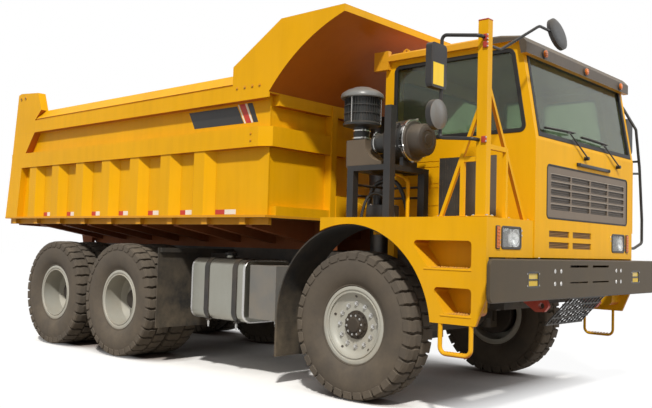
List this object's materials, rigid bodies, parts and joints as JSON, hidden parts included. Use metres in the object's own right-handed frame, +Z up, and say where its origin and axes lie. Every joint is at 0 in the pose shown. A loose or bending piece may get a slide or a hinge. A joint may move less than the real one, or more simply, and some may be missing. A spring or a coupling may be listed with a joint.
{
  "type": "mining dump truck",
  "caption": "Yellow six-wheel mining dump truck with an offset cab, a ribbed steel bed that tips on a front telescopic hoist, steered front wheels and twin rear wheels.",
  "frame": {"origin": "On the ground, under the middle of the overall length and width.", "axes": "+X forward, +Y to the truck's left, +Z up."},
  "size_m": [8.185, 3.58, 3.658],
  "materials": {
    "body_yellow": "amber yellow machine paint, dusty",
    "roof_grey": "brown-grey paint",
    "bumper_grey": "olive-grey paint, dusty",
    "frame_paint": "dark brown-grey chassis paint",
    "engine_iron": "as cast",
    "tank_aluminium": "bare sheet",
    "box_grey": "grey paint",
    "black_rubber": "matt",
    "black_plastic": "black moulding",
    "duct_tan": "tan duct, dusty",
    "rim_silver": "silver-grey wheel paint",
    "tyre_rubber": "dusty rubber",
    "window_glass": "lightly tinted",
    "headlamp": "clear lens over a reflector",
    "amber_lens": "amber lens",
    "fog_lens": "yellow lens",
    "red_lens": "red lens",
    "hook_red": "red paint",
    "seat_fabric": "dark cloth",
    "hoist_paint": "black paint",
    "hoist_steel": "hard chrome"
  },
  "bodies": {
    "chassis": {"air_cleaner": "black_plastic", "air_tanks": "tank_aluminium", "bumper": "bumper_grey", "bumper_guard": "bumper_grey", "cab_glass": "window_glass", "cab_roof": "roof_grey", "cab_shell": "body_yellow", "dashboard": "black_plastic", "deck_stands": "frame_paint", "drive_axles": "frame_paint", "drive_shaft": "frame_paint", "driver_seat": "seat_fabric", "engine": "engine_iron", "fog_lamps": "fog_lens", "frame": "frame_paint", "front_axle": "frame_paint", "front_springs": "frame_paint", "fuel_tank": "tank_aluminium", "grilles": "black_plastic", "handrails": "body_yellow", "headlamps": "headlamp", "intake_elbow": "duct_tan", "ladders": "frame_paint", "mirrors": "black_plastic", "mudguards": "black_rubber", "orange_lamps": "amber_lens", "pre_cleaner": "black_plastic", "rear_springs": "frame_paint", "side_boxes": "box_grey", "tail_lamps": "red_lens", "tank_brackets": "frame_paint", "tow_hooks": "hook_red", "wing_left": "body_yellow", "wing_right": "body_yellow"},
    "bed": {"bed_floor": "body_yellow", "bed_side_left": "body_yellow", "bed_side_right": "body_yellow", "bed_front_wall": "body_yellow", "bed_canopy": "body_yellow", "bed_underframe": "body_yellow"},
    "hoist_rod": {"hoist_rod": "hoist_steel"},
    "hoist_stage_inner": {"hoist_stage_inner": "hoist_steel"},
    "hoist_stage_outer": {"hoist_stage_outer": "hoist_steel"},
    "hoist_cover": {"hoist_cover": "hoist_paint"},
    "cab_door": {"cab_door": "body_yellow", "door_glass": "window_glass"},
    "knuckle_left": {"knuckle_left": "frame_paint"},
    "knuckle_right": {"knuckle_right": "frame_paint"},
    "wheel_front_left": {"rim_front_left": "rim_silver", "tyre_front_left": "tyre_rubber"},
    "wheel_front_right": {"rim_front_right": "rim_silver", "tyre_front_right": "tyre_rubber"},
    "wheels_mid_left": {"rims_mid_left": "rim_silver", "tyres_mid_left": "tyre_rubber"},
    "wheels_mid_right": {"rims_mid_right": "rim_silver", "tyres_mid_right": "tyre_rubber"},
    "wheels_rear_left": {"rims_rear_left": "rim_silver", "tyres_rear_left": "tyre_rubber"},
    "wheels_rear_right": {"rims_rear_right": "rim_silver", "tyres_rear_right": "tyre_rubber"}
  },
  "joints": [
    {"name": "bed_tip", "type": "hinge", "parent": "chassis", "child": "bed", "pos_m": [-3.4475, 0, 1.29], "axis": [0, -1, 0], "range_deg": [0, 45]},
    {"name": "hoist_lean", "type": "hinge", "parent": "chassis", "child": "hoist_rod", "pos_m": [1.6775, 0, 1.18], "axis": [0, -1, 0], "range_deg": [0, 21.55]},
    {"name": "stage_inner_slide", "type": "slide", "parent": "hoist_rod", "child": "hoist_stage_inner", "axis": [-0.048, 0, 0.9988], "range_m": [0, 1.29165]},
    {"name": "stage_outer_slide", "type": "slide", "parent": "hoist_stage_inner", "child": "hoist_stage_outer", "axis": [-0.048, 0, 0.9988], "range_m": [0, 1.29165]},
    {"name": "cover_slide", "type": "slide", "parent": "hoist_stage_outer", "child": "hoist_cover", "axis": [-0.048, 0, 0.9988], "range_m": [0, 1.29165]},
    {"name": "door_swing", "type": "hinge", "parent": "chassis", "child": "cab_door", "pos_m": [3.6815, 1.5, 2.39], "axis": [0, 0, -1], "range_deg": [0, 70]},
    {"name": "steer_left", "type": "hinge", "parent": "chassis", "child": "knuckle_left", "pos_m": [2.4525, 0.985, 0.685], "axis": [0, 0, 1], "range_deg": [-33, 33]},
    {"name": "roll_front_left", "type": "hinge", "parent": "knuckle_left", "child": "wheel_front_left", "pos_m": [2.4525, 1.262, 0.685], "axis": [0, 1, 0], "continuous": true},
    {"name": "steer_right", "type": "hinge", "parent": "chassis", "child": "knuckle_right", "pos_m": [2.4525, -0.985, 0.685], "axis": [0, 0, 1], "range_deg": [-33, 33]},
    {"name": "roll_front_right", "type": "hinge", "parent": "knuckle_right", "child": "wheel_front_right", "pos_m": [2.4525, -1.262, 0.685], "axis": [0, 1, 0], "continuous": true},
    {"name": "roll_mid_left", "type": "hinge", "parent": "chassis", "child": "wheels_mid_left", "pos_m": [-1.1475, 1.1735, 0.685], "axis": [0, 1, 0], "continuous": true},
    {"name": "roll_mid_right", "type": "hinge", "parent": "chassis", "child": "wheels_mid_right", "pos_m": [-1.1475, -1.1735, 0.685], "axis": [0, 1, 0], "continuous": true},
    {"name": "roll_rear_left", "type": "hinge", "parent": "chassis", "child": "wheels_rear_left", "pos_m": [-2.6475, 1.1735, 0.685], "axis": [0, 1, 0], "continuous": true},
    {"name": "roll_rear_right", "type": "hinge", "parent": "chassis", "child": "wheels_rear_right", "pos_m": [-2.6475, -1.1735, 0.685], "axis": [0, 1, 0], "continuous": true}
  ],
  "couplings": [
    {"joint": "hoist_lean", "follows": "bed_tip", "ratio": 0.47879},
    {"joint": "stage_inner_slide", "follows": "bed_tip", "m_per_rad": 1.6446},
    {"joint": "stage_outer_slide", "follows": "bed_tip", "m_per_rad": 1.6446},
    {"joint": "cover_slide", "follows": "bed_tip", "m_per_rad": 1.6446},
    {"joint": "steer_right", "follows": "steer_left", "ratio": 1}
  ]
}
